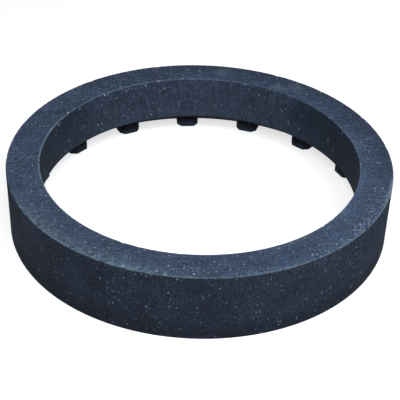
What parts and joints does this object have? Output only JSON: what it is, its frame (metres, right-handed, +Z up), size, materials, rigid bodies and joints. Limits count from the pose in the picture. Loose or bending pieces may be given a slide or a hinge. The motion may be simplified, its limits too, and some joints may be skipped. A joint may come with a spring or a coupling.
{
  "type": "manhole top ring",
  "caption": "Thick round ring with a flat top, a plain clear opening, a sloping underside and a circle of locating lugs beneath.",
  "frame": {"origin": "centre of the ring's base, on the floor it lies on", "axes": "+Z up along the ring's axis, out of the flat top; +X and +Y each pass through the middle of a lug"},
  "size_m": [0.755, 0.755, 0.138],
  "materials": {
    "rubber": "moulded recycled rubber, blue-black with fine pale flecks, satin"
  },
  "bodies": {
    "root": {"top_ring": "rubber"}
  },
  "joints": []
}
